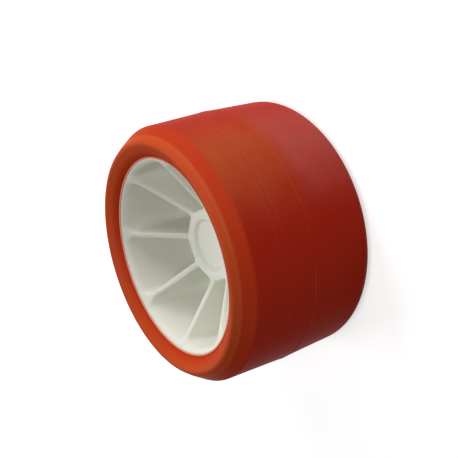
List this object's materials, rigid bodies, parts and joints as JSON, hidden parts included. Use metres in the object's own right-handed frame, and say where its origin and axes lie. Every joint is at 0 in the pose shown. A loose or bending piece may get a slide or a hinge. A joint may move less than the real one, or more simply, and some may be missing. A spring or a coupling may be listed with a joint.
{
  "type": "dual-material roller",
  "caption": "Wide roller with an orange-red elastomer tread moulded round a white ribbed plastic hub, with a blind axle bore open to the rear.",
  "frame": {"origin": "on the axis of the roller, halfway between the two ends of the tread", "axes": "+Z along the axle towards the open, dished side of the hub; the middles of the pockets lie on X, on Y and on the diagonals between them"},
  "size_m": [0.1203, 0.1202, 0.0724],
  "materials": {
    "tread": "satin",
    "hub": "satin"
  },
  "bodies": {
    "root": {"tread": "tread", "hub": "hub"}
  },
  "joints": []
}
